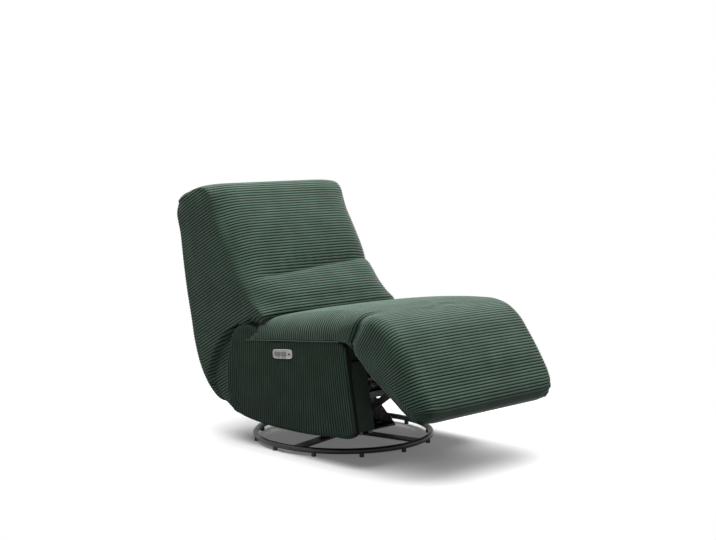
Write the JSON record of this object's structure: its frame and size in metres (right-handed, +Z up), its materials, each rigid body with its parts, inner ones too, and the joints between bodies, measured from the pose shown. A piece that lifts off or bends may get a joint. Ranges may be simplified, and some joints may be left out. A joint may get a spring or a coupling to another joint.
{
  "type": "rocker recliner",
  "caption": "Armless power recliner in ribbed green fabric with raising footrest and reclining back, on a rocker bracket and a swivelling steel ring base.",
  "frame": {"origin": "on the floor at the swivel axis", "axes": "+Z up, the chair faces -Y, +X is the sitter's left"},
  "size_m": [0.7415, 1.3575, 0.9904],
  "materials": {
    "black_steel": "satin black powder coat",
    "bright_steel": "zinc plated",
    "spring_steel": "oiled spring wire",
    "plywood": "raw plywood and pine",
    "corduroy": "dark green wide-wale corduroy over foam",
    "webbing": "woven elastic",
    "black_plastic": "matte",
    "silver_plastic": "satin silver grey",
    "grey_plastic": "matte dark grey"
  },
  "bodies": {
    "base": {"base_ring": "black_steel", "floor_glides": "black_plastic", "cross_strap_side": "black_steel", "cross_strap_front": "black_steel", "swivel_lower_plate": "black_steel", "swivel_kingpin": "bright_steel", "bearing_balls": "bright_steel", "swivel_plate_bolts": "bright_steel"},
    "swivel": {"swivel_upper_plate": "black_steel", "rocker_bases": "black_steel", "rocker_pins": "bright_steel", "rocker_springs": "spring_steel"},
    "seat": {"rocker_arms": "black_steel", "mech_rails": "black_steel", "side_frame_left": "plywood", "side_frame_right": "plywood", "front_stiles": "plywood", "side_pad_left": "corduroy", "side_pad_right": "corduroy", "front_cross_tube": "black_steel", "rear_cross_tube": "black_steel", "seat_front_rail": "plywood", "seat_rear_rail": "plywood", "seat_springs": "spring_steel", "seat_cushion": "corduroy", "recline_brackets": "black_steel", "recline_pins": "bright_steel", "hinge_arms": "black_steel", "knee_pins": "bright_steel", "rail_bolts": "bright_steel", "frame_glides": "black_plastic", "actuator_body": "black_plastic", "actuator_mount": "black_steel", "power_inlet": "black_plastic", "control_housing": "black_plastic", "control_bezel": "silver_plastic", "usb_port": "black_plastic"},
    "back": {"back_side_left": "plywood", "back_side_right": "plywood", "back_brackets": "black_steel", "back_top_rail": "plywood", "back_lower_rail": "plywood", "back_tail_rail": "plywood", "back_webbing": "webbing", "back_cushion": "corduroy", "back_shell": "corduroy", "back_top_pad": "corduroy", "back_wing_left": "corduroy", "back_wing_right": "corduroy"},
    "footrest": {"footrest_board": "plywood", "footrest_cushion": "corduroy", "footrest_brackets": "black_steel", "rod_pins": "bright_steel"},
    "drive_shaft": {"torque_tube": "black_steel", "drive_cranks": "black_steel", "drive_lever": "black_steel"},
    "push_rods": {"push_rods": "black_steel"},
    "actuator_rod": {"actuator_rod": "bright_steel"},
    "button_open": {"button_open": "grey_plastic"},
    "button_close": {"button_close": "grey_plastic"}
  },
  "joints": [
    {"name": "base_swivel", "type": "hinge", "parent": "base", "child": "swivel", "pos_m": [0, 0, 0.049], "axis": [0, 0, 1], "continuous": true},
    {"name": "rock", "type": "hinge", "parent": "swivel", "child": "seat", "pos_m": [0, 0, 0.15], "axis": [1, 0, 0], "range_deg": [-7, 7], "stiffness_Nm_per_rad": 1200, "springref_deg": -0.55, "deforming": ["rocker_springs"]},
    {"name": "back_recline", "type": "hinge", "parent": "seat", "child": "back", "pos_m": [0, 0.19, 0.385], "axis": [-1, 0, 0], "range_deg": [0, 28]},
    {"name": "footrest_open", "type": "hinge", "parent": "seat", "child": "footrest", "pos_m": [0, -0.49, 0.45], "axis": [-1, 0, 0], "range_deg": [-48, 28]},
    {"name": "drive_turn", "type": "hinge", "parent": "seat", "child": "drive_shaft", "pos_m": [0, -0.25, 0.285], "axis": [-1, 0, 0], "range_deg": [-48, 28]},
    {"name": "rod_turn", "type": "hinge", "parent": "footrest", "child": "push_rods", "pos_m": [0, -0.5522, 0.31351], "axis": [-1, 0, 0], "range_deg": [-28, 48]},
    {"name": "actuator_slide", "type": "slide", "parent": "seat", "child": "actuator_rod", "axis": [0, -1, 0], "range_m": [-0.04349, 0.02537]},
    {"name": "button_open_press", "type": "slide", "parent": "seat", "child": "button_open", "axis": [1, 0, 0], "range_m": [0, 0.002], "stiffness_N_per_m": 500, "springref_m": -0.0005},
    {"name": "button_close_press", "type": "slide", "parent": "seat", "child": "button_close", "axis": [1, 0, 0], "range_m": [0, 0.002], "stiffness_N_per_m": 500, "springref_m": -0.0005}
  ],
  "couplings": [
    {"joint": "drive_turn", "follows": "footrest_open", "ratio": 1},
    {"joint": "rod_turn", "follows": "footrest_open", "ratio": -1},
    {"joint": "actuator_slide", "follows": "footrest_open", "m_per_rad": 0.0519}
  ]
}
